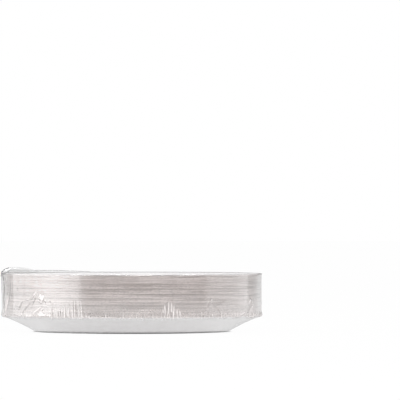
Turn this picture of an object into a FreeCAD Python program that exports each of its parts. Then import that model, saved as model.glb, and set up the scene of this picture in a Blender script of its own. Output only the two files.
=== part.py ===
import FreeCAD, Part
import math
import os

# A pack of round moulded-fibre plates: identical plates, nested face up in one stack,
# and one clear shrink film around them all.
# Millimetres. +Z is up. The origin is the centre of the film's flat base.
# The two faces of a plate have the same section, one above the other, so the plates
# nest by moving straight up.

# The plate, from its outer edge inwards. The wall is measured straight up.
PLATE_COUNT = 50
PLATE_RADIUS = 127.0
PLATE_WALL = 0.5
RIM_WIDTH = 12.7
RIM_SLOPE = 1.0
LIP_WIDTH = 2.3
LIP_DROOP = 24.0
RISER_WIDTH = 3.6
RISER_SLOPE = 48.0
LEDGE_WIDTH = 1.3
LEDGE_SLOPE = 6.0
SIDE_WIDTH = 13.9
SIDE_SLOPE = 41.5
FOOT_FILLET = 7.0
LEDGE_FILLET = 0.6
RIM_FILLET = 1.6
LIP_FILLET = 1.5

# How the plates lie on each other: the gap between two, and how far one may stand aside.
NEST_GAP = 0.295
NEST_UNEVENNESS = 0.35
NEST_RHYTHM = 1.9
SIDE_SHIFT = 0.3
SHIFT_RHYTHM_X = 0.30
SHIFT_RHYTHM_Y = 0.23
SHIFT_START_Y = 1.0

# The film: flat under the foot, drawn from the foot to the lowest lip, then straight up.
FILM_WALL = 0.25
FILM_CLEARANCE = 0.3
FILM_FOOT_FILLET = 3.0
FILM_WAIST_SHARE = 0.5
FILM_WAIST_RISE = 0.8
FILM_WAIST_FILLET = 40.0
FILM_EDGE_FILLET = 1.2

# The ear: the pinched fold of film on the top edge, at the left end.
EAR_LENGTH = 36.0
EAR_CREST_INSET = 8.0
EAR_HEIGHT = 6.3
EAR_REACH = 1.4
EAR_DROP = 8.0
EAR_TIP_DROP = 1.0
EAR_THICKNESS = 1.2


def rise(width, slope):
    """The height gained over a width at a slope in degrees."""
    return width * math.tan(math.radians(slope))


def section_point(radius, height):
    """A point of a section drawn in the XZ plane."""
    return FreeCAD.Vector(radius, 0, height)


def rounded_path(corners, fillets):
    """Edges through the corners in order, each inner corner rounded to its fillet radius."""
    edges = []
    start = corners[0]
    for before, corner, after, fillet in zip(corners, corners[1:], corners[2:], fillets):
        back = (before - corner).normalize()
        ahead = (after - corner).normalize()
        half_angle = back.getAngle(ahead) / 2
        setback = fillet / math.tan(half_angle)
        arc_start = corner + back * setback
        arc_end = corner + ahead * setback
        bisector = (back + ahead).normalize()
        arc_middle = corner + bisector * (fillet / math.sin(half_angle) - fillet)
        edges.append(Part.LineSegment(start, arc_start).toShape())
        edges.append(Part.Arc(arc_start, arc_middle, arc_end).toShape())
        start = arc_end
    edges.append(Part.LineSegment(start, corners[-1]).toShape())
    return edges


def turned(edges):
    """The solid that a closed section makes when it is turned about Z."""
    section = Part.Face(Part.Wire(Part.__sortEdges__(edges)))
    return section.revolve(FreeCAD.Vector(0, 0, 0), FreeCAD.Vector(0, 0, 1), 360)


def foot_radius():
    """Where the flat foot of a plate would meet its sloping side, with no rounding."""
    return PLATE_RADIUS - RIM_WIDTH - RISER_WIDTH - LEDGE_WIDTH - SIDE_WIDTH


def plate_corners():
    """The corners of a plate's underside, from the centre to the edge of the lip."""
    corners = [section_point(0, 0), section_point(foot_radius(), 0)]
    flat_rim = RIM_WIDTH - LIP_WIDTH
    steps = [
        (SIDE_WIDTH, SIDE_SLOPE),
        (LEDGE_WIDTH, LEDGE_SLOPE),
        (RISER_WIDTH, RISER_SLOPE),
        (flat_rim, RIM_SLOPE),
        (LIP_WIDTH, -LIP_DROOP),
    ]
    for width, slope in steps:
        corners.append(corners[-1] + section_point(width, rise(width, slope)))
    return corners


def plate():
    """One plate, turned, with its foot on Z = 0."""
    fillets = [FOOT_FILLET, LEDGE_FILLET, LEDGE_FILLET, RIM_FILLET, LIP_FILLET]
    under = rounded_path(plate_corners(), fillets)
    lift = FreeCAD.Vector(0, 0, PLATE_WALL)
    over = [edge.translated(lift) for edge in under]
    lip = plate_corners()[-1]
    centre = section_point(0, 0)
    lip_edge = Part.LineSegment(lip, lip + lift).toShape()
    axis_edge = Part.LineSegment(centre, centre + lift).toShape()
    return turned(under + [lip_edge] + over + [axis_edge])


def nest_gap(number):
    """The gap above a plate, a little uneven from plate to plate."""
    return NEST_GAP * (1 + NEST_UNEVENNESS * math.sin(NEST_RHYTHM * number))


def stack_places():
    """Where each plate stands: a little to one side or the other, and one gap above the last."""
    height = FILM_WALL + FILM_CLEARANCE
    places = []
    for number in range(PLATE_COUNT):
        aside = SIDE_SHIFT * math.sin(SHIFT_RHYTHM_X * number)
        along = SIDE_SHIFT * math.sin(SHIFT_RHYTHM_Y * number + SHIFT_START_Y)
        places.append(FreeCAD.Vector(aside, along, height))
        height += PLATE_WALL + nest_gap(number)
    return places


def film_corners(places):
    """The corners of the film's outside, from the centre of its base to the centre of its top."""
    cover = FILM_CLEARANCE + FILM_WALL
    wander = max(math.hypot(place.x, place.y) for place in places)
    side = PLATE_RADIUS + wander + cover
    lip = places[0].z + plate_corners()[-1].z - cover
    top = places[-1].z + plate_corners()[-2].z + PLATE_WALL + cover
    foot = foot_radius() + FILM_CLEARANCE
    waist = foot + FILM_WAIST_SHARE * (side - foot)
    waist_height = FILM_WAIST_SHARE * lip + FILM_WAIST_RISE
    return [
        section_point(0, 0),
        section_point(foot, 0),
        section_point(waist, waist_height),
        section_point(side, lip),
        section_point(side, top),
        section_point(0, top),
    ]


def inset(corners, distance):
    """The corners of a path that runs a distance to the left of the path through the corners."""
    runs = [(b - a).normalize() for a, b in zip(corners, corners[1:])]
    sides = [FreeCAD.Vector(-run.z, 0, run.x) for run in runs]
    moved = [corners[0] + sides[0] * distance]
    for corner, side, next_side in zip(corners[1:], sides, sides[1:]):
        both = side + next_side
        moved.append(corner + both * (distance * 2 / both.dot(both)))
    moved.append(corners[-1] + sides[-1] * distance)
    return moved


def film_filled(corners, depth):
    """The space inside the film's outside, or a depth within it, as one solid."""
    fillets = [
        FILM_FOOT_FILLET - depth,
        FILM_WAIST_FILLET + depth,
        FILM_EDGE_FILLET - depth,
        FILM_EDGE_FILLET - depth,
    ]
    path = inset(corners, depth)
    axis_edge = Part.LineSegment(path[0], path[-1]).toShape()
    return turned(rounded_path(path, fillets) + [axis_edge])


def film_ear(corners):
    """The pinched fold of film, standing on the top edge at the left end."""
    side = -corners[-2].x
    top = corners[-2].z
    seat = FILM_WALL / 2
    outline = [
        section_point(side + seat, top - EAR_DROP),
        section_point(side - EAR_REACH, top - EAR_TIP_DROP),
        section_point(side + EAR_CREST_INSET, top + EAR_HEIGHT),
        section_point(side + EAR_LENGTH, top - seat),
        section_point(side + seat, top - seat),
    ]
    face = Part.Face(Part.makePolygon(outline + outline[:1]))
    face.translate(FreeCAD.Vector(0, -EAR_THICKNESS / 2, 0))
    return face.extrude(FreeCAD.Vector(0, EAR_THICKNESS, 0))


def film(places):
    """The closed film around the whole stack, with its ear."""
    corners = film_corners(places)
    shell = film_filled(corners, 0).cut(film_filled(corners, FILM_WALL))
    return shell.fuse(film_ear(corners))


def main():
    os.makedirs("parts", exist_ok=True)
    places = stack_places()
    one_plate = plate()
    for number, place in enumerate(places, start=1):
        one_plate.translated(place).exportStep(f"parts/plate_{number:02d}.step")
    film(places).exportStep("parts/film_wrap.step")


main()
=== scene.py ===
import math

import bpy
import numpy as np
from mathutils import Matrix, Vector


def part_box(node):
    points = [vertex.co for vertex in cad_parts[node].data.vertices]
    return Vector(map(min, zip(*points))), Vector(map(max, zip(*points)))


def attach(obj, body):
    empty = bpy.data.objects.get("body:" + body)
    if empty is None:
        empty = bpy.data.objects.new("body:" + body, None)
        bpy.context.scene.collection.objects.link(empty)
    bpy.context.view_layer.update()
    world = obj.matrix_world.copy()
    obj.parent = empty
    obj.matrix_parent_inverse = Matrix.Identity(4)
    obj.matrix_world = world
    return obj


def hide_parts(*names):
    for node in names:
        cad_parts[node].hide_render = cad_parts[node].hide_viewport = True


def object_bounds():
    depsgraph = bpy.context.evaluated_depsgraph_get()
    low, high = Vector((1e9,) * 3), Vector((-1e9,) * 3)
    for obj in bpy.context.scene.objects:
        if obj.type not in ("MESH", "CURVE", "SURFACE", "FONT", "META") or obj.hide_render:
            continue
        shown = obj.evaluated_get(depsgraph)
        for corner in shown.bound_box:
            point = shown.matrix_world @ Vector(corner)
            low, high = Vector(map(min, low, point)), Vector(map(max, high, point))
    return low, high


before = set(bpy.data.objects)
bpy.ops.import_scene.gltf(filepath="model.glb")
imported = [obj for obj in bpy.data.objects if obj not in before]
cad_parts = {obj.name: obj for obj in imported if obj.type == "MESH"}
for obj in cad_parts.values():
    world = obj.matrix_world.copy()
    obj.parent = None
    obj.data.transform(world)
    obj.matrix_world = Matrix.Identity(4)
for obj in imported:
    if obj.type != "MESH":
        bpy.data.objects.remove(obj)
cad_low, cad_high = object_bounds()

# Everything is in metres, in the part's own frame: +Z up, the camera at -Y.
# An azimuth is counted from the side that faces the camera, and grows towards +X.

MM = 0.001
PLATES = sorted(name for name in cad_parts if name.startswith("plate_"))

# Plates
NEST_SEED = 11
PLATE_SEGMENTS = 144
RING_GAP = 0.1 * MM
LIP_ROUNDING = 0.14 * MM
WAVE_ORDERS = 30
WAVE_SIZE = 0.075 * MM
WAVE_LIMIT = 1.6
WAVE_SCALE = 1.6
DRIFT_ORDERS = 5
DRIFT_SIZE = 0.035 * MM
DRIFT_KEPT = 0.9

# Pulp: the heights and radii between which a plate's edge takes the tone of its layer, with its
# painted shade and painted light
STACK_LEVEL_TOP = 57 * MM
EDGE_TONE_AND_SHADE_START = 123.5 * MM
EDGE_TONE_AND_SHADE_FULL = 126.2 * MM
EDGE_TONE_AND_SHADE_SHARE = 0.9
FLECK_SHARE = 0.35
PALE_EDGE = (1.0, 0.935, 0.915)

# Film
FINE_SEGMENTS = 1800
COARSE_SEGMENTS = 600
TOP_SEGMENTS = 300
EAR_COLUMNS = 76
EAR_ROWS = 14
FILM_COVER = 0.55 * MM
FILM_BASE_RADIUS = 94.6 * MM
FILM_WAIST_RISE = 0.8 * MM
SHOULDER_RADIUS = 0.8 * MM
LIP_CORNER_RADIUS = 1.1 * MM
LIP_CORNER_START = -62
GATHERED_HEIGHT = 22 * MM
TOP_SAG = 0.6 * MM
TOP_RINGS = 20
TOP_RING_INSET = 3 * MM
TOP_RING_LAST = 6 * MM
ROOF_SIDE = 20 * MM
ROOF_SPREAD = 36 * MM
ROOF_STATIONS = [-2, 4, 9, 58, 76, 100, 128]
ROOF_RISES = [1.2, 2.0, 2.9, 2.7, 2.2, 1.0, 0]
HEM_SEGMENTS = 480
HEM_RADIUS = 0.50 * MM
FOOT_HEM_SHADOW_RADIUS = 0.34 * MM
HEM_DROP = 0.75 * MM
HEM_RISE_BEHIND = 0.35 * MM
PLEAT_PITCH = 3.2 * MM
PLEAT_DEPTH, PLEAT_DEPTH_SPREAD = 0.57, 0.30
PLEAT_DEPTH_LIMITS = (0.08, 1.6)
PLEAT_REACH, PLEAT_REACH_SPREAD = 2.6, 1.8
PLEAT_REACH_LIMITS = (1.2, 11)
PLEAT_SHARPNESS = 1.3
PLEAT_DRIFT = 3.0
PLEAT_UNEVENNESS = 0.55
PLEAT_FADE_BELOW = 1.4 * MM
PLEAT_MILK_AND_GLINT = 0.95
FOLD_MILK_AND_GLINT = 1.0
FOLD_END = 0.08
CLEAR_FOLD = 0.1
FOLD_SHADE = 0.54
FOLD_SHADE_WIDTH = 0.6 * MM
SIDE_MILK = 0.36
SIDE_MILK_REACH = 34 * MM
WRINKLE_SIZE = 0.05 * MM
FLUTTER_SIZE = 0.04 * MM
RIPPLE_SIZE = 0.10 * MM
RIPPLE_WAVE = 23 * MM
LID_GLOSS_DROP = 0.34
LID_LEAN = math.radians(120)
TUBE_SIDES = 6
NOISES = {
    # the orders of the waves around the stack, and the seed of their sizes
    "pleat_drift": (range(7, 60, 3), 3),
    "pleat_depth": (range(5, 90, 4), 4),
    "pleat_reach": (range(9, 140, 6), 5),
    "pleat_unevenness": (range(90, 240, 11), 6),
    "ripple": (range(2, 14), 8),
    "flutter": (range(30, 90, 4), 17),
    "wrinkle": (range(20, 75, 5), 19),
}
CREASES = [
    # azimuth and height of each end in degrees and mm, width and depth in mm, then milkiness, which
    # partly stands for a painted highlight
    (-45.6, 39.5, -48.0, 34.0, 0.8, 0.34, 0.0),
    (-48.2, 33.5, -45.2, 40.2, 0.5, 0.20, 0.7),
    (-54.3, 31.3, -57.7, 23.3, 0.8, 0.38, 0.0),
    (-53.1, 31.9, -48.3, 33.5, 0.6, 0.25, 0.9),
    (-49.0, 29.6, -54.3, 21.0, 0.8, 0.38, 0.1),
    (-45.0, 35.4, -47.6, 27.8, 0.8, 0.40, 0.0),
    (-42.4, 37.4, -41.4, 31.6, 1.9, 0.50, 1.0),
    (-40.6, 36.8, -41.2, 32.4, 1.7, 0.46, 1.0),
    (-43.4, 34.6, -41.6, 33.0, 1.2, 0.32, 0.8),
    (-40.0, 33.4, -39.2, 31.2, 0.9, 0.30, 0.7),
    (-43.0, 31.4, -41.6, 29.6, 0.8, 0.30, 0.7),
    (-47.0, 19.0, -42.0, 25.6, 1.0, 0.60, 1.0),
    (-43.8, 18.4, -40.0, 17.8, 1.2, 0.55, 1.0),
    (-42.6, 20.8, -40.2, 18.2, 1.0, 0.50, 1.0),
    (-45.6, 18.0, -43.6, 20.4, 0.8, 0.30, 0.0),
    (-42.0, 22.4, -40.6, 24.8, 0.8, 0.35, 0.8),
    (-51.8, 16.8, -48.2, 17.2, 0.8, 0.30, 1.0),
    (-58.6, 17.6, -56.2, 17.2, 0.6, 0.25, 0.7),
    (-67.4, 37.6, -73.0, 19.5, 1.0, 0.80, 1.0),
    (-69.8, 30.0, -73.8, 18.4, 1.5, 0.95, 1.0),
    (-70.5, 51.0, -72.5, 41.0, 1.0, 0.60, 0.8),
    (-74.5, 53.0, -71.5, 44.0, 0.8, 0.60, 0.2),
    (-65.5, 53.0, -66.5, 33.0, 1.2, 0.35, 0.0),
    (-71.0, 39.0, -69.0, 33.0, 0.9, 0.50, 0.1),
    (-62.0, 30.0, -63.0, 21.0, 0.7, 0.25, 0.5),
    (14.4, 25.0, 14.6, 20.5, 0.6, 0.4, 0.8),
    (15.3, 28.5, 15.4, 20.0, 0.7, 0.5, 1),
    (17.0, 31.0, 16.9, 19.5, 0.6, 0.5, 1),
    (18.1, 30.0, 18.2, 22.0, 0.7, 0.55, 1),
    (19.3, 27.5, 19.1, 19.0, 0.6, 0.5, 1),
    (20.7, 25.0, 20.6, 19.5, 0.6, 0.45, 1),
    (22.0, 22.5, 22.0, 18.5, 0.6, 0.35, 0.8),
    (-60.0, 41.0, -57.5, 46.0, 0.5, 0.18, 0.0),
    (-38.0, 33.0, -36.0, 30.5, 0.5, 0.20, 0.5),
]

# The loose creases: how many, and what they are drawn from, in degrees and mm
LOOSE_CREASES = 52
LOOSE_SEED = 21
LOOSE_AZIMUTH = (35, 285)
LOOSE_LEAN = 3.5
LOOSE_HEIGHT = (19, 36)
LOOSE_DROP = (3, 9)
LOOSE_LOWEST = 17
LOOSE_WIDTH = (0.5, 1.2)
LOOSE_DEPTH = (0.2, 0.5)
LOOSE_MILK_AND_GLINT = (0.3, 0.4)
BUNCHES = [
    # azimuth and spread in degrees, then extra depth and reach in mm
    (-27.2, 5.2, 0.56, 6.2),
    (-35.5, 3.0, 0.30, 3.0),
    (18.2, 3.0, 1.15, 9.0),
    (-152.0, 5.0, 0.55, 6.0),
    (118.0, 4.0, 0.65, 7.0),
    (66.0, 3.5, 0.50, 5.0),
]
HEM_HIGHLIGHT = [
    # azimuth in degrees, and how white the top hem is there, as painted highlight
    (-180, 0.1),
    (-110, 0.1),
    (-66, 0.2),
    (-62, 1.0),
    (-32, 1.0),
    (-25, 0.3),
    (-20, 0.05),
    (0, 0.05),
    (2, 0.9),
    (9, 0.9),
    (11, 0.05),
    (50, 0.2),
    (64, 0.7),
    (80, 0.2),
    (180, 0.1),
]

# The ear, and the gathered fold below it: heights in mm, with half widths
EAR_ROOT_DROP = 22 * MM
EAR_ROOT_RIDGE = (0.6, 2.4 * MM)
EAR_ROOT_SECOND = (0.4, 1.6 * MM)
EAR_ROOT_BROAD = (0.5, 13 * MM)
EAR_PUFF = 0.35
EAR_SHEET = 0.05
EAR_FLATTENS = (22, 36)
EAR_CREST_END = 30
EAR_FOLD_SIDE = -0.9 * MM
EAR_LINE_STEPS = 110
EAR_OUTLINE = [
    # distance in from the left end, then the foot and the crest above the top, all in mm
    (-1.0, -6.0, -3.0),
    (-0.2, -4.0, 1.2),
    (1.6, -1.5, 3.0),
    (3.4, -0.8, 3.9),
    (6.0, -0.6, 5.2),
    (12.0, -0.5, 5.3),
    (22.0, -0.5, 5.0),
    (29.0, -0.5, 3.6),
    (36.0, -0.5, 2.4),
]
EAR_CREST_RADII = [
    # distance in from the left end, and the radius of the rolled crest there, in mm
    (-1, 0.46),
    (6, 0.44),
    (8, 0.20),
    (22, 0.15),
    (30, 0.05),
]
EAR_FOLD_RADII = [
    # distance in from the left end, and the radius of the fold across there, in mm
    (0, 0.32),
    (8, 0.30),
    (12, 0.18),
    (30, 0.12),
    (36, 0.05),
]
EAR_FOLD = [
    # the fold across: distance in from the left end and height above the top, in mm
    (-0.4, -3.4),
    (0.8, -1.4),
    (3.0, -0.4),
    (5.6, 1.2),
    (7.6, 3.0),
    (10.0, 3.15),
    (24.0, 3.1),
    (36.0, 2.6),
]

# The folds that stand on the skin
RIDGE_STEPS = 150
RIDGE_RADII = [
    # distance in from the left end, and the radius of the fold along the top there, in mm
    (24, 0.08),
    (34, 0.34),
    (60, 0.32),
    (118, 0.08),
]
END_FOLD_STEPS = 70
END_FOLD_LINE = [
    # share of the way down, and azimuth in degrees
    (0, -80.5),
    (0.2, -77.0),
    (0.4, -75.4),
    (0.6, -77.4),
    (0.8, -76.4),
    (1, -74.8),
]
END_FOLD_RADII = [
    # share of the way down, and radius in mm
    (0, 0.10),
    (0.1, 0.34),
    (0.9, 0.28),
    (1, 0.10),
]
LEFT_FOLD_STEPS = 50
LEFT_FOLD_TOP = 38.5
LEFT_FOLD_LENGTH = 20.5
LEFT_FOLD_RADII = [
    # share of the way down, and radius in mm
    (0, 0.08),
    (0.3, 0.34),
    (0.8, 0.46),
    (1, 0.20),
]

# Camera: a little above the stack, far away, looking along +Y and a trace upwards
CAMERA_PLACE = (0.0671, -3.70, 0.100)
CAMERA_TILT = 0.00791
CAMERA_LENS = 338.0
CAMERA_SENSOR = 36.0

# Studio: the walls are rows of strips, each with its own radiance, over a span of azimuth
LEFT_WALL = [3.45, 4.1, 4.25, 3.45, 2.5, 1.7, 1.15]
LEFT_WALL_SPAN = (-39.8, -115.1)
LEFT_WALL_END = [0.8, 0.4]
LEFT_WALL_END_SPAN = (-39.8, -31.8)
RIGHT_WALL = [1.15, 1.2, 1.2, 1.1]
RIGHT_WALL_SPAN = (62.0, 112.0)
WALL_REACH = 0.50
WALL_HEIGHT = 0.135
FILL_HEIGHT = 0.30
KEY_REACH = 1.6
WALL_OFF_FLOOR = 5 * MM
WALL_OVERLAP = 1.02
LEFT_WALL_FILLS = (1, 4)
STACK_MIDDLE = (0.0, 0.0, 0.03)
KEYS = [
    # azimuth and elevation in degrees, width and height in metres, radiance
    ("left_key", -52, 40, 0.50, 0.40, 12.0),
    ("right_key", 58, 34, 0.45, 0.40, 11.0),
    ("high_key", -5, 66, 0.70, 0.35, 9.0),
    ("crown_1", -60, 50, 0.26, 0.24, 13.0),
    ("crown_2", -30, 50, 0.26, 0.24, 13.0),
    ("crown_3", 0, 50, 0.26, 0.24, 13.0),
    ("crown_4", 30, 50, 0.26, 0.24, 13.0),
    ("crown_5", 60, 50, 0.26, 0.24, 13.0),
]
FLOOR_HALF = 30.0
FLOOR_SHADE_START = 95.5 * MM
FLOOR_SHADE_END = 99.0 * MM
FLOOR_SHADE_MOST = 0.97
FLOOR_GLOW_START = 92.5 * MM
FLOOR_GLOW_END = 96.5 * MM
FLOOR_GLOW_MOST = 0.76
WORLD_LIGHT = 0.85
WORLD_MIRRORED = [
    # how far a mirrored ray points away from the camera, and how bright it finds the world
    (0.0, 0.14),
    (0.35, 0.6),
    (0.60, 0.9),
    (0.72, 0.62),
    (0.80, 0.50),
    (0.90, 0.45),
    (0.96, 0.42),
    (0.985, 0.50),
    (0.996, 0.95),
]

rng = np.random.default_rng(NEST_SEED)


def polar(azimuth, radius):
    """The X and Y of a point at an azimuth and radius about the stack's axis."""
    return radius * np.sin(azimuth), -radius * np.cos(azimuth)


def wrapped(angle):
    """An angle brought to between half a turn either way."""
    return (angle + math.pi) % (2 * math.pi) - math.pi


def smooth_step(low, high, value):
    """0 below low, 1 above high, and a smooth rise between."""
    share = np.clip((value - low) / (high - low), 0, 1)
    return share * share * (3 - 2 * share)


def add_mesh(name, points, faces, material, slot, **layers):
    """A smooth-shaded piece that rides on the part, with one material and its point layers; the slot
    is not used.
    """
    mesh = bpy.data.meshes.new(name)
    mesh.from_pydata(points, [], faces)
    mesh.validate()
    mesh.polygons.foreach_set("use_smooth", [True] * len(mesh.polygons))
    mesh.materials.append(material)
    for layer, values in layers.items():
        mesh.attributes.new(layer, "FLOAT", "POINT").data.foreach_set("value", values)
    piece = bpy.data.objects.new(name, mesh)
    bpy.context.scene.collection.objects.link(piece)
    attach(piece, "root")
    return piece


def ring_faces(first, count, second=None, second_count=None):
    """Faces between two neighbouring rings of a lattice, one of which may be some times as fine."""
    second = first + count if second is None else second
    second_count = second_count or count
    steps = min(count, second_count)
    low_ratio, high_ratio = count // steps, second_count // steps
    faces = []
    for k in range(steps):
        low = [first + (k * low_ratio + j) % count for j in range(low_ratio + 1)]
        high = [second + (k * high_ratio + j) % second_count for j in range(high_ratio + 1)]
        faces.append((*low, *reversed(high)))
    return faces


# Materials


def new_material(name):
    """An empty node material and its output."""
    material = bpy.data.materials.new(name)
    material.use_nodes = True
    tree = material.node_tree
    tree.nodes.clear()
    output = tree.nodes.new("ShaderNodeOutputMaterial")
    return material, tree, output


def math_node(tree, operation, first, second=None):
    """A Math node fed by sockets or plain numbers, as its result socket."""
    node = tree.nodes.new("ShaderNodeMath")
    node.operation = operation
    for socket, value in zip(node.inputs, (first, second)):
        if value is None:
            continue
        if isinstance(value, (int, float)):
            socket.default_value = value
        else:
            tree.links.new(value, socket)
    return node.outputs[0]


def level_node(tree, value, start, end, most=1.0):
    """A value turned to 0 at its start and to the most at its end, and held beyond them."""
    node = tree.nodes.new("ShaderNodeMapRange")
    node.inputs["From Min"].default_value = start
    node.inputs["From Max"].default_value = end
    node.inputs["To Max"].default_value = most
    tree.links.new(value, node.inputs["Value"])
    return node.outputs["Result"]


def layer_value(tree, name):
    """The value of one of the mesh's own layers."""
    node = tree.nodes.new("ShaderNodeAttribute")
    node.attribute_name = name
    return node.outputs["Fac"]


def plain_colour(tree, colour):
    """One colour as a socket."""
    node = tree.nodes.new("ShaderNodeRGB")
    node.outputs[0].default_value = (*colour, 1)
    return node.outputs[0]


def noise_node(tree, vector, scale, detail=2.0, roughness=0.5):
    """A noise texture's value over a vector socket."""
    node = tree.nodes.new("ShaderNodeTexNoise")
    node.inputs["Scale"].default_value = scale
    node.inputs["Detail"].default_value = detail
    node.inputs["Roughness"].default_value = roughness
    tree.links.new(vector, node.inputs["Vector"])
    return node.outputs["Fac"]


def stretched(tree, vector, scales):
    """The vector with each axis scaled by its own factor."""
    node = tree.nodes.new("ShaderNodeMapping")
    node.inputs["Scale"].default_value = scales
    tree.links.new(vector, node.inputs["Vector"])
    return node.outputs["Vector"]


def ramp_node(tree, value, stops):
    """A ramp over a value: each stop is a position and a colour, or one number for a grey."""
    node = tree.nodes.new("ShaderNodeValToRGB")
    ramp = node.color_ramp
    stops = [(place, tone if isinstance(tone, tuple) else (tone,) * 3) for place, tone in stops]
    while len(ramp.elements) > 1:
        ramp.elements.remove(ramp.elements[-1])
    ramp.elements[0].position, ramp.elements[0].color = stops[0][0], (*stops[0][1], 1)
    for position, colour in stops[1:]:
        ramp.elements.new(position).color = (*colour, 1)
    tree.links.new(value, node.inputs["Fac"])
    return node.outputs["Color"]


def mixed_colour(tree, share, first, second, blend="MIX"):
    """Two colour sockets mixed by a share, which is a socket or a number."""
    node = tree.nodes.new("ShaderNodeMix")
    node.data_type = "RGBA"
    node.blend_type = blend
    if isinstance(share, (int, float)):
        node.inputs[0].default_value = share
    else:
        tree.links.new(share, node.inputs[0])
    tree.links.new(first, node.inputs[6])
    tree.links.new(second, node.inputs[7])
    return node.outputs[2]


def mixed_shader(tree, share, first, second):
    """Two shader sockets mixed by a share socket."""
    node = tree.nodes.new("ShaderNodeMixShader")
    tree.links.new(share, node.inputs["Fac"])
    tree.links.new(first, node.inputs[1])
    tree.links.new(second, node.inputs[2])
    return node.outputs[0]


def bump_node(tree, height, distance, strength, normal=None):
    """A bump over a height socket, with its depth in metres."""
    node = tree.nodes.new("ShaderNodeBump")
    node.inputs["Strength"].default_value = strength
    node.inputs["Distance"].default_value = distance
    tree.links.new(height, node.inputs["Height"])
    if normal is not None:
        tree.links.new(normal, node.inputs["Normal"])
    return node.outputs["Normal"]


def pulp_material():
    """Pressed moulded fibre: matte, off-white, with a fine grain, soft mottling and a few flecks; its
    plate edges are streaked and darkened, partly as painted shade between the rims.
    """
    material, tree, output = new_material("moulded_fibre")
    coordinates = tree.nodes.new("ShaderNodeTexCoord").outputs["Object"]
    parts = tree.nodes.new("ShaderNodeSeparateXYZ")
    tree.links.new(coordinates, parts.inputs[0])
    x_squared = math_node(tree, "MULTIPLY", parts.outputs["X"], parts.outputs["X"])
    y_squared = math_node(tree, "MULTIPLY", parts.outputs["Y"], parts.outputs["Y"])
    radius = math_node(tree, "SQRT", math_node(tree, "ADD", x_squared, y_squared))

    mottle = noise_node(tree, coordinates, 160.0, 4.0, 0.6)
    fibre = noise_node(tree, stretched(tree, coordinates, (1.0, 1.6, 2.2)), 1500.0, 3.0, 0.65)
    base = ramp_node(tree, mottle, [(0.35, (0.825, 0.808, 0.808)), (0.65, (0.875, 0.862, 0.865))])

    fleck_noise = noise_node(tree, coordinates, 420.0, 1.0, 0.4)
    fleck = ramp_node(tree, fleck_noise, [(0.70, 0.0), (0.76, 1.0)])
    fleck_share = math_node(tree, "MULTIPLY", fleck, FLECK_SHARE)
    base = mixed_colour(tree, fleck_share, base, plain_colour(tree, (0.60, 0.53, 0.46)))

    # Each plate's edge is a little warmer or paler than the next, and darker overall, partly as
    # painted shade in the gaps between the nested rims; the upper ones are paler with painted light,
    # and the topmost darker with painted shade under the film's hem
    layers = noise_node(tree, stretched(tree, coordinates, (13.0, 13.0, 610.0)), 1.0, 3.0, 0.75)
    edge_tone_and_painted_light = ramp_node(tree, layers, [(0.38, (0.44, 0.38, 0.355)), (0.56, PALE_EDGE)])
    streaks = noise_node(tree, stretched(tree, coordinates, (26.0, 26.0, 1100.0)), 1.0, 2.0, 0.6)
    streak_tone = ramp_node(tree, streaks, [(0.36, (0.80, 0.785, 0.775)), (0.53, 1.0)])
    edge_tone_and_painted_light = mixed_colour(tree, 1.0, edge_tone_and_painted_light, streak_tone, "MULTIPLY")
    specks = noise_node(tree, stretched(tree, coordinates, (1.0, 1.0, 1.5)), 620.0, 1.0, 0.5)
    speck_tone = ramp_node(tree, specks, [(0.36, 0.72), (0.54, 1.0)])
    edge_tone_and_painted_light = mixed_colour(tree, 1.0, edge_tone_and_painted_light, speck_tone, "MULTIPLY")
    level = level_node(tree, parts.outputs["Z"], 0.0, STACK_LEVEL_TOP)
    # painted shade darkens the topmost plates' edges, under the film's hem
    top_shade_stops = [(0.30, 1.0), (0.955, (1.0, 0.995, 0.99)), (0.975, (0.90, 0.89, 0.88))]
    painted_top_shade = ramp_node(tree, level, top_shade_stops)
    edge_tone_and_painted_light = mixed_colour(tree, 1.0, edge_tone_and_painted_light, painted_top_shade, "MULTIPLY")
    # painted light pales the upper plates' edges, and all of them a little
    painted_upper_light = ramp_node(tree, level, [(0.76, 0.07), (0.90, 0.36)])
    edge_tone_and_painted_light = mixed_colour(tree, painted_upper_light, edge_tone_and_painted_light, plain_colour(tree, PALE_EDGE))
    # the band of the plates' edges takes this tone, with its painted shade of the gaps between the
    # rims
    edge = level_node(tree, radius, EDGE_TONE_AND_SHADE_START, EDGE_TONE_AND_SHADE_FULL)
    edge_tone_and_shade_share = math_node(tree, "MULTIPLY", edge, EDGE_TONE_AND_SHADE_SHARE)
    base = mixed_colour(tree, edge_tone_and_shade_share, base, edge_tone_and_painted_light, "MULTIPLY")

    shader = tree.nodes.new("ShaderNodeBsdfPrincipled")
    shader.inputs["Roughness"].default_value = 0.85
    shader.inputs["Specular IOR Level"].default_value = 0.25
    tree.links.new(base, shader.inputs["Base Color"])
    soft = bump_node(tree, mottle, 0.25 * MM, 0.5)
    grain = bump_node(tree, fibre, 0.12 * MM, 0.55, soft)
    tree.links.new(grain, shader.inputs["Normal"])
    tree.links.new(shader.outputs[0], output.inputs["Surface"])
    return material


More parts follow.
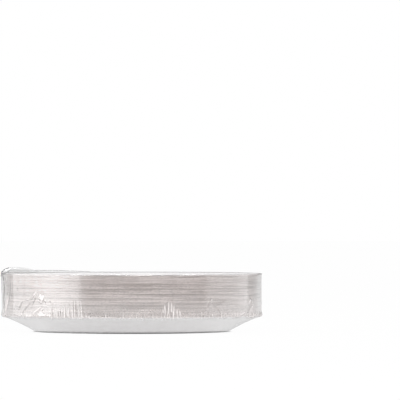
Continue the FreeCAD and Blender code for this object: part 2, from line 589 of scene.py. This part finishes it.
def film_material(name, clearness, gloss_share=2.1, gloss_limit=0.62):
    """Clear shrink film: it mirrors by its angle, darkens at its outline and is milky where creased,
    and this milky white is partly painted highlight.

    The gloss share is how much stronger than plain plastic it mirrors, and the limit is its most."""
    material, tree, output = new_material(name)
    coordinates = tree.nodes.new("ShaderNodeTexCoord").outputs["Object"]
    ripple = noise_node(tree, stretched(tree, coordinates, (1.0, 1.0, 0.6)), 90.0, 3.0, 0.5)
    fine = noise_node(tree, coordinates, 700.0, 2.0, 0.6)
    normal = bump_node(tree, ripple, 0.6 * MM, 0.25)
    normal = bump_node(tree, fine, 0.06 * MM, 0.5, normal)

    fresnel = tree.nodes.new("ShaderNodeFresnel")
    fresnel.inputs["IOR"].default_value = 1.5
    tree.links.new(normal, fresnel.inputs["Normal"])
    lid = layer_value(tree, "lid")
    limit = math_node(tree, "MULTIPLY", lid, LID_GLOSS_DROP)
    limit = math_node(tree, "SUBTRACT", gloss_limit, limit)
    mirrored = math_node(tree, "MULTIPLY", fresnel.outputs[0], gloss_share)
    mirrored = math_node(tree, "MINIMUM", mirrored, limit)

    facing = tree.nodes.new("ShaderNodeLayerWeight").outputs["Facing"]
    tilt = math_node(tree, "SUBTRACT", facing, lid)
    tilt = math_node(tree, "ADD", tilt, layer_value(tree, "shade"))
    tones = [(0.74, 1.0), (0.88, 0.84), (0.97, 0.52), (1.0, 0.40)]
    tones = [(place, clearness * share) for place, share in tones]
    clear = tree.nodes.new("ShaderNodeBsdfTransparent")
    tree.links.new(ramp_node(tree, tilt, tones), clear.inputs["Color"])
    # a white matte layer where the film is milky, which partly serves as painted highlights on its
    # folds and hems
    milky_and_glinting = tree.nodes.new("ShaderNodeBsdfDiffuse")
    milky_and_glinting.inputs["Color"].default_value = (0.94, 0.892, 0.88, 1)
    grain = ramp_node(tree, fine, [(0.32, 0.62), (0.66, 1.0)])
    haze = math_node(tree, "MULTIPLY", layer_value(tree, "haze"), grain)
    through = mixed_shader(tree, haze, clear.outputs[0], milky_and_glinting.outputs[0])
    gloss = tree.nodes.new("ShaderNodeBsdfPrincipled")
    gloss.inputs["Base Color"].default_value = (0.95, 0.95, 0.95, 1)
    gloss.inputs["Metallic"].default_value = 1.0
    gloss.inputs["Roughness"].default_value = 0.12
    tree.links.new(normal, gloss.inputs["Normal"])
    film = mixed_shader(tree, mirrored, through, gloss.outputs[0])
    tree.links.new(film, output.inputs["Surface"])
    return material


# Plates


def plate_section(name):
    """The (radius, height) rows of a plate's underside from its foot out to its lip, and its wall."""
    low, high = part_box(name)
    middle = (low + high) / 2
    points = sorted(
        (math.hypot(v.co.x - middle.x, v.co.y - middle.y), v.co.z - low.z)
        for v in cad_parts[name].data.vertices
    )
    groups = [[points[0]]]
    for point in points[1:]:
        if point[0] - groups[-1][-1][0] > RING_GAP:
            groups.append([])
        groups[-1].append(point)
    rows = []
    for group in groups:
        radii, heights = zip(*group)
        rows.append((sum(radii) / len(radii), min(heights)))
    return rows, max(heights) - min(heights)


def nest_lifts(count):
    """How far each plate's rim stands off its true height, by plate and azimuth.

    A plate waves a little by itself, and shares a slow drift with those below it."""
    turn = np.linspace(0, 2 * math.pi, PLATE_SEGMENTS, endpoint=False)
    lifts = np.zeros((count, PLATE_SEGMENTS))
    drift = np.zeros(PLATE_SEGMENTS)
    for plate in range(count):
        wave = np.zeros(PLATE_SEGMENTS)
        for order in range(1, WAVE_ORDERS + 1):
            wave += rng.normal() / order**0.35 * np.cos(order * turn + rng.uniform(0, 2 * math.pi))
        for order in range(1, DRIFT_ORDERS + 1):
            size = DRIFT_SIZE * rng.normal() / order
            drift += size * np.cos(order * turn + rng.uniform(0, 2 * math.pi))
        drift *= DRIFT_KEPT
        lifts[plate] = drift + WAVE_SIZE * WAVE_LIMIT * np.tanh(wave / WAVE_LIMIT / WAVE_SCALE)
    lifts[0] = lifts[-1] = 0
    return lifts


def make_plate(name, place, lifts, material):
    """One plate as a closed lattice of rings, its rim following the uneven nest."""
    under = list(plate_rows)
    over = [(radius, height + plate_wall) for radius, height in plate_rows]
    lip_radius, lip_low = plate_rows[-1]
    lip_middle = (lip_radius + LIP_ROUNDING, lip_low + plate_wall / 2)
    section = under + [lip_middle] + over[::-1]
    turn = np.linspace(0, 2 * math.pi, PLATE_SEGMENTS, endpoint=False)
    points = [(place.x, place.y, place.z)]
    for radius, height in section:
        x, y = polar(turn, radius)
        z = place.z + height + lifts * (radius / lip_radius) ** 2
        points.extend(zip(place.x + x, place.y + y, z))
    points.append((place.x, place.y, place.z + plate_wall))
    faces = []
    for row in range(len(section) - 1):
        faces.extend(ring_faces(1 + row * PLATE_SEGMENTS, PLATE_SEGMENTS))
    last = 1 + (len(section) - 1) * PLATE_SEGMENTS
    top = len(points) - 1
    for k in range(PLATE_SEGMENTS):
        after = (k + 1) % PLATE_SEGMENTS
        faces.append((0, 1 + after, 1 + k))
        faces.append((top, last + k, last + after))
    piece = add_mesh(name + "_pulp", points, faces, material, "moulded_fibre")
    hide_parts(name)


# Film


def arc_rows(centre, radius, start, end, count):
    """Points of an arc in the section plane, from one angle to another in degrees."""
    angles = np.radians(np.linspace(start, end, count))
    return [(centre[0] + radius * math.cos(a), centre[1] + radius * math.sin(a)) for a in angles]


def line_rows(start, end, count):
    """Points along a line in the section plane, without its ends."""
    shares = np.linspace(0, 1, count + 2)[1:-1]
    return [tuple(np.add(start, np.subtract(end, start) * share)) for share in shares]


def film_top():
    """The height of the film's flat top, just above the top plate's rim."""
    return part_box(PLATES[-1])[1].z + FILM_COVER


def lip_height():
    """The height of the film's lower edge, just below the lowest plate's lip."""
    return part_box(PLATES[0])[0].z + plate_rows[-1][1] - FILM_COVER


def film_rows():
    """The (radius, height, segments) rows of the film's skin, from its base to its top's edge."""
    side = cad_high.x
    top = film_top()
    lip = lip_height()
    waist = ((FILM_BASE_RADIUS + side) / 2, lip / 2 + FILM_WAIST_RISE)
    corner = LIP_CORNER_RADIUS
    shoulder = SHOULDER_RADIUS
    lip_arc = arc_rows((side - corner, lip + corner), corner, LIP_CORNER_START, 0, 6)
    coarse = [(FILM_BASE_RADIUS, 0.0)]
    coarse += line_rows(coarse[0], waist, 3) + [waist]
    run = line_rows(waist, lip_arc[0], 11)
    coarse += run[1:8:3]
    fine = run[8:] + lip_arc
    low_side = (side, lip + GATHERED_HEIGHT)
    fine += line_rows(lip_arc[-1], low_side, 31)
    high_side = (side, top - shoulder)
    rest = [low_side] + line_rows(low_side, high_side, 9)
    rest += arc_rows((side - shoulder, top - shoulder), shoulder, 0, 90, 6)
    rows = [(*row, COARSE_SEGMENTS) for row in coarse]
    rows += [(*row, FINE_SEGMENTS) for row in fine]
    rows += [(*row, COARSE_SEGMENTS) for row in rest]
    return rows


def all_creases():
    """The folds seen at the left, and more like them scattered along the rest of the lower side."""
    draw = np.random.default_rng(LOOSE_SEED)
    folds = list(CREASES)
    for _ in range(LOOSE_CREASES):
        start = draw.uniform(*LOOSE_AZIMUTH)
        height = draw.uniform(*LOOSE_HEIGHT)
        end = start + draw.normal(0, LOOSE_LEAN)
        end_height = max(height - draw.uniform(*LOOSE_DROP), LOOSE_LOWEST)
        width, depth = draw.uniform(*LOOSE_WIDTH), draw.uniform(*LOOSE_DEPTH)
        milky_and_glinting = min(max(draw.normal(*LOOSE_MILK_AND_GLINT), 0), 1)
        folds.append((start, height, end, end_height, width, depth, milky_and_glinting))
    return folds


def crease_field(azimuth, height):
    """Sharp folds, each a narrow ridge between two points: their height, their milkiness, which
    partly is a painted highlight, and the painted shade along the clear ones.
    """
    field = np.zeros(azimuth.shape)
    milk_and_glint = np.zeros(azimuth.shape)
    shade = np.zeros(azimuth.shape)
    reach = cad_high.x
    for first, first_height, second, second_height, width, depth, milky_and_glinting in all_creases():
        start = np.array([math.radians(first), first_height * MM])
        run = np.array([math.radians(second - first) * reach, second_height * MM - start[1]])
        across = wrapped(azimuth - start[0]) * reach
        along = height - start[1]
        share = np.clip((across * run[0] + along * run[1]) / (run @ run), 0, 1)
        distance = np.hypot(across - share * run[0], along - share * run[1])
        taper = np.sin(math.pi * np.clip(share, FOLD_END, 1 - FOLD_END)) ** 0.6
        ridge = taper * np.clip(1 - distance / (width * MM), 0, 1)
        field = np.maximum(field, depth * MM * ridge)
        milk_and_glint = np.maximum(milk_and_glint, milky_and_glinting * np.clip(1.5 * ridge, 0, 1))
        if milky_and_glinting <= CLEAR_FOLD:
            line = taper * np.clip(1.6 - distance / FOLD_SHADE_WIDTH, 0, 1)
            shade = np.maximum(shade, FOLD_SHADE * line)
    return field, milk_and_glint, shade


def harmonic_noise(azimuth, name):
    """Smooth noise around the stack, about -1 to 1."""
    orders, seed = NOISES[name]
    draw = np.random.default_rng(seed)
    total = np.zeros_like(azimuth)
    for order in orders:
        total += draw.normal() * np.cos(order * azimuth + draw.uniform(0, 2 * math.pi))
    return total / math.sqrt(len(orders))


def pleat_field(azimuth, height, lip):
    """Upright gathers above the lower edge, stronger in a few bunches: their height, and their
    milkiness, which partly is a painted highlight on their ridges.
    """
    count = round(2 * math.pi * cad_high.x / PLEAT_PITCH)
    drift = PLEAT_DRIFT * harmonic_noise(azimuth, "pleat_drift")
    ridge = (1 - np.abs(np.sin((count * azimuth + drift) / 2))) ** PLEAT_SHARPNESS
    depth = PLEAT_DEPTH + PLEAT_DEPTH_SPREAD * harmonic_noise(azimuth, "pleat_depth")
    reach = PLEAT_REACH + PLEAT_REACH_SPREAD * harmonic_noise(azimuth, "pleat_reach")
    uneven = 1 + PLEAT_UNEVENNESS * harmonic_noise(azimuth, "pleat_unevenness")
    for centre, spread, extra_depth, extra_reach in BUNCHES:
        off = wrapped(azimuth - math.radians(centre)) / math.radians(spread)
        bunch = np.exp(-(off**2))
        depth = depth + extra_depth * bunch
        reach = reach + extra_reach * bunch * np.clip(uneven, 0.3, 1.3)
    depth = np.clip(depth * np.clip(uneven, 0.4, 1.4), *PLEAT_DEPTH_LIMITS) * MM
    reach = np.clip(reach, *PLEAT_REACH_LIMITS) * MM
    above = max(height - lip, 0)
    below = max(lip - height, 0)
    fade = np.exp(-((above / reach) ** 1.5)) * math.exp(-((below / PLEAT_FADE_BELOW) ** 2))
    milk_and_glint = np.clip((ridge - 0.35) / 0.65, 0, 1) * fade * np.clip(depth / (1.1 * MM), 0, 1)
    return depth * ridge * fade, milk_and_glint


def ear_root(azimuth, height, top):
    """The gathered fold that runs down the left end below the ear."""
    ridge_height, ridge_width = EAR_ROOT_RIDGE
    second_height, second_width = EAR_ROOT_SECOND
    broad_height, broad_width = EAR_ROOT_BROAD
    drop = min(max((top - height) / EAR_ROOT_DROP, 0), 1)
    line = -math.pi / 2 + 0.020 * math.sin(9 * drop) + 0.03 * drop
    off = wrapped(azimuth - line) * cad_high.x
    ridge = ridge_height * np.clip(1 - np.abs(off) / ridge_width, 0, 1)
    second_off = off + 5.0 * MM - 7 * MM * drop
    second = second_height * np.clip(1 - np.abs(second_off) / second_width, 0, 1)
    broad = broad_height * np.exp(-((off / broad_width) ** 2))
    return (ridge + second + broad) * MM * (1 - drop) ** 0.7


def roof(x, y):
    """How far the loose film stands off the top plate: a low ridge that runs in from the ear."""
    inward = (x + cad_high.x) / MM
    rise = np.interp(inward, ROOF_STATIONS, ROOF_RISES)
    off = np.abs(y - ROOF_SIDE) / ROOF_SPREAD
    return rise * MM * np.exp(-(off**1.4))


def make_film(material):
    """The whole skin, with fine rings along the lower side, where it is gathered."""
    rows = film_rows()
    lip = lip_height()
    top = rows[-1][1]
    radii = np.array([row[0] for row in rows])
    heights = np.array([row[1] for row in rows])
    slope = np.arctan2(np.gradient(heights), np.gradient(radii))
    points, starts = [(0.0, 0.0, 0.0)], []
    haze, lid, shade = [0.0], [0.0], [0.0]
    for (radius, height, count), lean in zip(rows, slope):
        turn = np.linspace(-math.pi, math.pi, count, endpoint=False)
        below_top = 1 - smooth_step(top - 2 * MM, top, height)
        on_side = float(smooth_step(lip, lip + 6 * MM, height) * below_top)
        pleats, pleat_milk_and_glint = pleat_field(turn, height, lip)
        folds, fold_milk_and_glint, fold_shade = crease_field(turn, height)
        ripple = harmonic_noise(turn, "ripple") * np.sin(height / RIPPLE_WAVE + 2 * turn)
        near_lip = 1 - smooth_step(lip + 8 * MM, lip + 20 * MM, height)
        flutter = harmonic_noise(turn, "flutter") * near_lip
        out = pleats + folds + FLUTTER_SIZE * flutter
        out = out + (ear_root(turn, height, top) + RIPPLE_SIZE * ripple) * on_side
        x, y = polar(turn, radius + out * math.sin(lean))
        z = height - out * math.cos(lean)
        z = z + roof(x, y) * smooth_step(top - 7 * MM, top, height)
        milk_and_glint = np.clip(PLEAT_MILK_AND_GLINT * pleat_milk_and_glint + FOLD_MILK_AND_GLINT * fold_milk_and_glint, 0, 1)
        low = smooth_step(lip - 0.5 * MM, lip + 0.5 * MM, height)
        low = low * (1 - smooth_step(lip, lip + SIDE_MILK_REACH, height))
        starts.append(len(points))
        points.extend(zip(x, y, z))
        haze.extend(np.clip(milk_and_glint + SIDE_MILK * low, 0, 1))
        lid.extend([float(lean > LID_LEAN)] * count)
        shade.extend(fold_shade)
    faces = [(0, 1 + k, 1 + (k + 1) % rows[0][2]) for k in range(rows[0][2])]
    edge = rows[-1][0]
    turn = np.linspace(-math.pi, math.pi, TOP_SEGMENTS, endpoint=False)
    counts = [row[2] for row in rows]
    for radius in np.linspace(edge - TOP_RING_INSET, TOP_RING_LAST, TOP_RINGS):
        x, y = polar(turn, radius)
        starts.append(len(points))
        counts.append(TOP_SEGMENTS)
        taut = float(smooth_step(0.45 * edge, 0.90 * edge, radius))
        wrinkle = WRINKLE_SIZE * taut * harmonic_noise(turn, "wrinkle")
        points.extend(zip(x, y, top - TOP_SAG * (1 - (radius / edge) ** 2) + roof(x, y) + wrinkle))
        haze.extend([0.0] * TOP_SEGMENTS)
        lid.extend([1.0] * TOP_SEGMENTS)
        shade.extend([0.0] * TOP_SEGMENTS)
    for ring in range(len(starts) - 1):
        faces.extend(ring_faces(starts[ring], counts[ring], starts[ring + 1], counts[ring + 1]))
    for k in range(TOP_SEGMENTS):
        faces.append((starts[-1] + k, starts[-1] + (k + 1) % TOP_SEGMENTS, len(points)))
    points.append((0.0, 0.0, top - TOP_SAG + float(roof(0.0, 0.0))))
    haze.append(0.0)
    lid.append(1.0)
    shade.append(0.0)
    layers = {"haze": haze, "lid": lid, "shade": shade}
    piece = add_mesh("film_skin", points, faces, material, "clear_film", **layers)
    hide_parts("film_wrap")


def tube(points, radii, closed=False):
    """A thin round fold of film along a line of points, as mesh points and faces."""
    path = [Vector(point) for point in points]
    rings, faces = [], []
    count = len(path)
    for index, point in enumerate(path):
        before = path[index - 1] if index or closed else point
        after = path[(index + 1) % count] if index + 1 < count or closed else point
        run = (after - before).normalized()
        level = run.cross(Vector((0, 0, 1)))
        if level.length < 1e-6:
            level = Vector((0, 1, 0))
        level.normalize()
        upright = level.cross(run)
        for side in range(TUBE_SIDES):
            turn = 2 * math.pi * side / TUBE_SIDES
            rings.append(point + (level * math.cos(turn) + upright * math.sin(turn)) * radii[index])
    for index in range(count if closed else count - 1):
        here, ahead = index * TUBE_SIDES, (index + 1) % count * TUBE_SIDES
        for side in range(TUBE_SIDES):
            after = (side + 1) % TUBE_SIDES
            faces.append((here + side, here + after, ahead + after, ahead + side))
    if not closed:
        faces.append(tuple(reversed(range(TUBE_SIDES))))
        faces.append(tuple((count - 1) * TUBE_SIDES + side for side in range(TUBE_SIDES)))
    return rings, faces


def make_tube(name, points, radii, material, closed=False, milk_and_glint=0.0):
    """A thin fold of film as a piece of its own, as milky as told, all along or point by point; the
    milky white partly stands for a painted highlight.
    """
    rings, faces = tube(points, radii, closed)
    haze = np.repeat(np.broadcast_to(milk_and_glint, len(points)), TUBE_SIDES)
    return add_mesh(name, rings, faces, material, "clear_film", haze=haze)


def ear_sway(along, height):
    """How far back the ear leans, and to and fro, in mm."""
    bend = 0.5 * np.sin(0.21 * along + 0.4) + 0.3 * np.sin(0.55 * along - 1.1)
    return 0.22 * np.maximum(height, 0) + bend * np.clip(height / 5, 0, 1)


def make_ear(material, fold_material):
    """The pinched ear: two sheets of film together, with a rolled crest and one fold across."""
    left = -cad_high.x
    top = film_top()
    stations, feet, crests = (list(column) for column in zip(*EAR_OUTLINE))
    along = np.linspace(stations[0], stations[-1], EAR_COLUMNS)
    foot = np.interp(along, stations, feet)
    crest = np.interp(along, stations, crests)
    up = np.linspace(0, 1, EAR_ROWS)[:, None]
    z = foot[None, :] + (crest - foot)[None, :] * up
    open_share = 1 - smooth_step(*EAR_FLATTENS, along)
    puff = EAR_PUFF * np.sin(math.pi * up) ** 0.7 * open_share[None, :] + EAR_SHEET
    points = []
    for side in (-1, 1):
        sheet = ear_sway(along[None, :], z) + side * puff
        for row in range(EAR_ROWS):
            for column in range(EAR_COLUMNS):
                x, y = left + along[column] * MM, sheet[row, column] * MM
                points.append((x, y, top + z[row, column] * MM))
    faces = []
    size = EAR_ROWS * EAR_COLUMNS
    for row in range(EAR_ROWS - 1):
        for column in range(EAR_COLUMNS - 1):
            a = row * EAR_COLUMNS + column
            quad = (a, a + 1, a + 1 + EAR_COLUMNS, a + EAR_COLUMNS)
            faces.append(quad)
            faces.append(tuple(size + index for index in reversed(quad)))
    rim = list(range(EAR_COLUMNS))
    rim += [row * EAR_COLUMNS + EAR_COLUMNS - 1 for row in range(1, EAR_ROWS)]
    rim += [size - 1 - column for column in range(1, EAR_COLUMNS)]
    rim += [row * EAR_COLUMNS for row in range(EAR_ROWS - 2, 0, -1)]
    for here, after in zip(rim, rim[1:] + rim[:1]):
        faces.append((after, here, here + size, after + size))
    add_mesh("film_ear", points, faces, material, "clear_film")

    fine = np.linspace(stations[0], EAR_CREST_END, EAR_LINE_STEPS)
    heights = np.interp(fine, stations, crests)
    line = [(left + a * MM, ear_sway(a, h) * MM, top + h * MM) for a, h in zip(fine, heights)]
    radii = np.interp(fine, *zip(*EAR_CREST_RADII)) * MM
    make_tube("film_ear_crest", line, radii, fold_material)
    fine = np.linspace(EAR_FOLD[0][0], EAR_FOLD[-1][0], EAR_LINE_STEPS)
    heights = np.interp(fine, *zip(*EAR_FOLD))
    line = [(left + a * MM, EAR_FOLD_SIDE, top + h * MM) for a, h in zip(fine, heights)]
    radii = np.interp(fine, *zip(*EAR_FOLD_RADII)) * MM
    make_tube("film_ear_fold", line, radii, fold_material)


def make_ridge(material):
    """The loose film's creases: one along the ridge of its roof, and two down the left end."""
    left = -cad_high.x
    top = film_top()
    inward = np.linspace(RIDGE_RADII[0][0], RIDGE_RADII[-1][0], RIDGE_STEPS)
    line = []
    for distance in inward:
        x, y = left + distance * MM, ROOF_SIDE
        sag = TOP_SAG * (1 - (x * x + y * y) / cad_high.x**2)
        line.append((x, y, top - sag + float(roof(x, y)) + 0.05 * MM))
    radii = np.interp(inward, *zip(*RIDGE_RADII)) * MM
    make_tube("film_ridge", line, radii, material)

    drop = np.linspace(0, 1, END_FOLD_STEPS)
    azimuth = np.radians(np.interp(drop, *zip(*END_FOLD_LINE)))
    height = top + (lip_height() + 1.5 * MM - top) * drop
    x, y = polar(azimuth, cad_high.x + 0.30 * MM)
    radii = np.interp(drop, *zip(*END_FOLD_RADII)) * MM
    make_tube("film_end_fold", list(zip(x, y, height)), radii, material)

    drop = np.linspace(0, 1, LEFT_FOLD_STEPS)
    azimuth = np.radians(-67.0 - 8.0 * drop - 0.5 * np.sin(7 * drop))
    height = (LEFT_FOLD_TOP - LEFT_FOLD_LENGTH * drop) * MM
    x, y = polar(azimuth, cad_high.x + 1.0 * MM)
    radii = np.interp(drop, *zip(*LEFT_FOLD_RADII)) * MM
    # the left fold is fully milky, partly as a painted highlight down the end
    make_tube("film_left_fold", list(zip(x, y, height)), radii, material, milk_and_glint=1.0)


def make_hem(material):
    """The thin hems round the film's top edge and round its foot: the top one whitened here and there
    with painted highlights, the foot one a darker crimped edge that also paints the shadow along the
    base.
    """
    top = film_top()
    turn = np.linspace(-math.pi, math.pi, HEM_SEGMENTS, endpoint=False)
    degrees = np.degrees(turn)
    back = smooth_step(90, 130, np.abs(degrees))
    x, y = polar(turn, cad_high.x + 0.05 * MM)
    height = top - HEM_DROP + HEM_RISE_BEHIND * back + roof(x, y) * (1 - back)
    # the top hem is whitened at set azimuths, as painted highlight
    white = np.interp(degrees, *zip(*HEM_HIGHLIGHT))
    radii = HEM_RADIUS * (0.45 + 0.55 * np.maximum(white, 0.6 * back))
    make_tube("film_hem", list(zip(x, y, height)), radii, material, True, white)
    # the foot hem is a darker crimped tube on the floor along the base, partly the film's edge and
    # partly painted shadow where the stack meets the floor
    x, y = polar(turn, FILM_BASE_RADIUS + 0.2 * MM)
    height = np.full(HEM_SEGMENTS, 1.05 * FOOT_HEM_SHADOW_RADIUS)
    radii = np.full(HEM_SEGMENTS, FOOT_HEM_SHADOW_RADIUS)
    make_tube("film_foot_hem_shadow", list(zip(x, y, height)), radii, material, True)


# Studio


def make_floor():
    """A white sweep that shows white to the camera and keeps the stack's soft shadow."""
    material, tree, output = new_material("studio_floor")
    place = tree.nodes.new("ShaderNodeTexCoord").outputs["Object"]
    grain = noise_node(tree, place, 30.0)
    matte = tree.nodes.new("ShaderNodeBsdfDiffuse")
    tree.links.new(ramp_node(tree, grain, [(0.0, 0.80), (1.0, 0.82)]), matte.inputs["Color"])
    white = tree.nodes.new("ShaderNodeEmission")
    white.inputs["Color"].default_value = (1, 1, 1, 1)
    distance = tree.nodes.new("ShaderNodeVectorMath")
    distance.operation = "LENGTH"
    tree.links.new(place, distance.inputs[0])
    far = distance.outputs["Value"]
    glow = level_node(tree, far, FLOOR_GLOW_START, FLOOR_GLOW_END, FLOOR_GLOW_MOST)
    lit = mixed_shader(tree, glow, matte.outputs[0], white.outputs[0])
    away = level_node(tree, far, FLOOR_SHADE_START, FLOOR_SHADE_END, FLOOR_SHADE_MOST)
    shown = mixed_shader(tree, away, matte.outputs[0], white.outputs[0])
    camera_ray = tree.nodes.new("ShaderNodeLightPath").outputs["Is Camera Ray"]
    tree.links.new(mixed_shader(tree, camera_ray, lit, shown), output.inputs["Surface"])
    half = FLOOR_HALF
    corners = [(-half, -half, 0), (half, -half, 0), (half, half, 0), (-half, half, 0)]
    mesh = bpy.data.meshes.new("floor")
    mesh.from_pydata(corners, [], [(0, 1, 2, 3)])
    mesh.materials.append(material)
    floor = bpy.data.objects.new("floor", mesh)
    bpy.context.scene.collection.objects.link(floor)


def make_world():
    """White to the eye and in reflections, and a plain soft light for everything else."""
    world = bpy.data.worlds.new("studio")
    world.use_nodes = True
    tree = world.node_tree
    tree.nodes.clear()
    output = tree.nodes.new("ShaderNodeOutputWorld")
    path = tree.nodes.new("ShaderNodeLightPath")
    camera_ray, through_ray = path.outputs["Is Camera Ray"], path.outputs["Is Transmission Ray"]
    seen = math_node(tree, "MAXIMUM", camera_ray, through_ray)
    way = tree.nodes.new("ShaderNodeSeparateXYZ")
    tree.links.new(tree.nodes.new("ShaderNodeTexCoord").outputs["Generated"], way.inputs[0])
    behind = ramp_node(tree, way.outputs["Y"], WORLD_MIRRORED)
    mirrored = math_node(tree, "MULTIPLY", path.outputs["Is Glossy Ray"], behind)
    backdrop = math_node(tree, "MAXIMUM", seen, mirrored)
    shows_backdrop = math_node(tree, "MAXIMUM", seen, path.outputs["Is Glossy Ray"])
    light = tree.nodes.new("ShaderNodeBackground")
    light.inputs["Color"].default_value = (1.0, 1.0, 1.0, 1)
    light.inputs["Strength"].default_value = WORLD_LIGHT
    white = tree.nodes.new("ShaderNodeBackground")
    white.inputs["Color"].default_value = (1, 1, 1, 1)
    tree.links.new(backdrop, white.inputs["Strength"])
    studio = mixed_shader(tree, shows_backdrop, light.outputs[0], white.outputs[0])
    tree.links.new(studio, output.inputs["Surface"])
    bpy.context.scene.world = world


def add_softbox(name, place, target, size, radiance):
    """A rectangular area lamp at a place, facing a target, with its brightness as seen head-on."""
    lamp = bpy.data.lights.new(name, "AREA")
    lamp.shape = "RECTANGLE"
    lamp.size, lamp.size_y = size
    lamp.energy = radiance * math.pi * size[0] * size[1]
    lamp.color = (1.0, 1.0, 1.0)
    holder = bpy.data.objects.new(name, lamp)
    bpy.context.scene.collection.objects.link(holder)
    holder.location = place
    facing = np.subtract(target, place)
    holder.rotation_mode = "QUATERNION"
    holder.rotation_quaternion = Vector(facing).to_track_quat("-Z", "Y")
    return holder


def add_strip(name, azimuth, size, radiance):
    """One upright strip of a wall of light, just off the floor and hidden from the camera."""
    x, y = polar(math.radians(azimuth), WALL_REACH)
    middle = size[1] / 2 + WALL_OFF_FLOOR
    lamp = add_softbox(name, (x, y, middle), (0, 0, middle), size, radiance)
    lamp.visible_camera = False
    return lamp


def make_wall(name, span, radiances, fills=()):
    """A curved wall of low strips for the film to mirror, with taller fill lamps at some of them."""
    first, last = span
    step = (last - first) / len(radiances)
    width = 2 * WALL_REACH * math.tan(math.radians(abs(step)) / 2) * WALL_OVERLAP
    for strip, radiance in enumerate(radiances):
        azimuth = first + step * (strip + 0.5)
        lamp = add_strip(f"{name}_{strip + 1}", azimuth, (width, WALL_HEIGHT), radiance)
        lamp.visible_diffuse = False
        if strip in fills:
            lamp = add_strip(f"{name}_fill_{strip + 1}", azimuth, (width, FILL_HEIGHT), radiance)
            lamp.visible_glossy = False


def make_lights():
    """Soft walls of light at both ends, boxes overhead and by the camera, and small glint keys."""
    make_wall("left_wall", LEFT_WALL_SPAN, LEFT_WALL, LEFT_WALL_FILLS)
    make_wall("left_wall_end", LEFT_WALL_END_SPAN, LEFT_WALL_END)
    make_wall("right_wall", RIGHT_WALL_SPAN, RIGHT_WALL)
    top = add_softbox("top_box", (0.2, -0.5, 1.9), (0.0, 0.0, 0.0), (2.2, 1.8), 0.5)
    front = add_softbox("front_box", (0.5, -2.6, 1.0), STACK_MIDDLE, (1.6, 1.4), 3.6)
    front.visible_glossy = False
    lamps = [top, front]
    for name, azimuth, elevation, wide, high, radiance in KEYS:
        x, y = polar(math.radians(azimuth), KEY_REACH * math.cos(math.radians(elevation)))
        z = KEY_REACH * math.sin(math.radians(elevation))
        key = add_softbox(name, (x, y, z), STACK_MIDDLE, (wide, high), radiance)
        key.visible_diffuse = False
        lamps.append(key)
    for lamp in lamps:
        lamp.visible_camera = False


def make_camera():
    """The photograph's camera."""
    data = bpy.data.cameras.new("camera")
    data.lens = CAMERA_LENS
    data.sensor_width = CAMERA_SENSOR
    data.clip_end = 100
    camera = bpy.data.objects.new("camera", data)
    bpy.context.scene.collection.objects.link(camera)
    camera.location = CAMERA_PLACE
    camera.rotation_euler = (math.pi / 2 + CAMERA_TILT, 0, 0)
    bpy.context.scene.camera = camera


plate_rows, plate_wall = plate_section(PLATES[0])
pulp = pulp_material()
for plate, plate_lifts in zip(PLATES, nest_lifts(len(PLATES))):
    low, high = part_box(plate)
    place = (low + high) / 2
    place.z = low.z
    make_plate(plate, place, plate_lifts, pulp)
film = film_material("clear_film", 0.985)
folded_film = film_material("folded_film", 0.60)
crimped_film = film_material("crimped_film", 0.50, 0.8, 0.30)
make_film(film)
make_ear(film, crimped_film)
make_hem(crimped_film)
make_ridge(folded_film)
make_floor()
make_world()
make_lights()
make_camera()
bpy.context.scene.view_settings.view_transform = "Standard"
